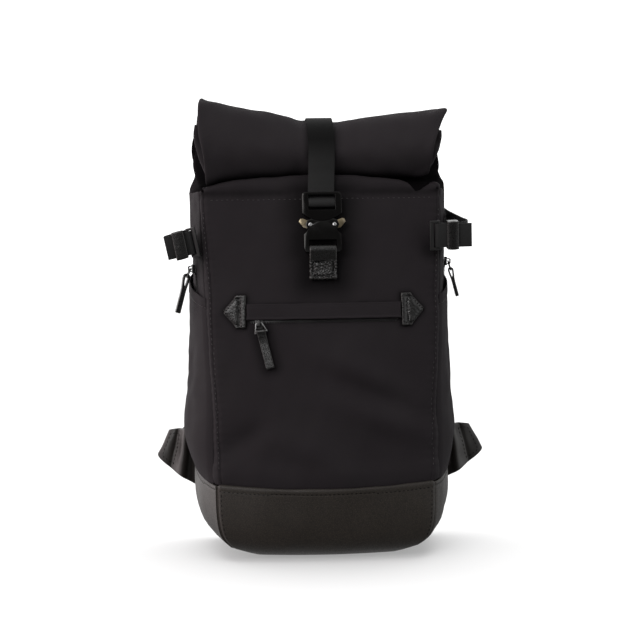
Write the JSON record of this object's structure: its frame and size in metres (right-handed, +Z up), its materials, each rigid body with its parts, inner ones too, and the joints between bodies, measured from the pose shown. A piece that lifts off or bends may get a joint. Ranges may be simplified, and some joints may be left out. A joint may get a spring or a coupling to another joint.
{
  "type": "roll-top camera backpack",
  "caption": "Upright soft camera backpack with a rolled top under a buckled strap, a leather base, side pockets, a zipped front pocket and padded carrying straps.",
  "frame": {"origin": "middle of the flat underside of the base, on the surface that the pack stands on", "axes": "+Z up along the pack's height, -Y out of the front with the buckle, +X to the right seen from the front"},
  "size_m": [0.354, 0.2521, 0.468],
  "materials": {
    "cloth": "matte near-black coated cotton",
    "leather": "dark waxed leather with a soft sheen",
    "webbing": "dense black webbing with a satin sheen",
    "padding": "black padded mesh",
    "black_metal": "glossy black plated metal",
    "brass": "satin brass",
    "steel": "bright steel"
  },
  "bodies": {
    "pack": {"leather_base": "leather", "front_panel": "cloth", "side_panel_left": "cloth", "side_panel_right": "cloth", "back_panel": "padding", "collar": "cloth", "roll_top": "cloth", "closure_strap": "webbing", "buckle_frame": "black_metal", "buckle_body": "black_metal", "buckle_tab": "leather", "rivet_left": "steel", "rivet_right": "steel", "pocket_welt": "cloth", "pocket_tab_left": "leather", "pocket_tab_right": "leather", "zip_slider_front": "black_metal", "zip_link_front": "steel", "zip_pull_front": "leather", "zip_slider_left": "black_metal", "zip_link_left": "steel", "zip_pull_left": "leather", "zip_slider_right": "black_metal", "zip_link_right": "steel", "zip_pull_right": "leather", "side_pocket_left": "cloth", "side_pocket_right": "cloth", "side_strap_left": "webbing", "side_strap_right": "webbing", "strap_hook_left": "black_metal", "strap_hook_right": "black_metal", "strap_keeper_left": "leather", "strap_keeper_right": "leather", "shoulder_strap_left": "padding", "shoulder_strap_right": "padding", "strap_wing_left": "webbing", "strap_wing_right": "webbing"},
    "lever_left": {"release_lever_left": "brass"},
    "lever_right": {"release_lever_right": "brass"}
  },
  "joints": [
    {"name": "lever_left_turn", "type": "hinge", "parent": "pack", "child": "lever_left", "pos_m": [-0.0122, -0.07204, 0.3361], "axis": [0, 0.9726, -0.2323], "range_deg": [0, 12], "stiffness_Nm_per_rad": 0.02},
    {"name": "lever_right_turn", "type": "hinge", "parent": "pack", "child": "lever_right", "pos_m": [0.0122, -0.07204, 0.3361], "axis": [0, -0.9726, 0.2323], "range_deg": [0, 12], "stiffness_Nm_per_rad": 0.02}
  ]
}
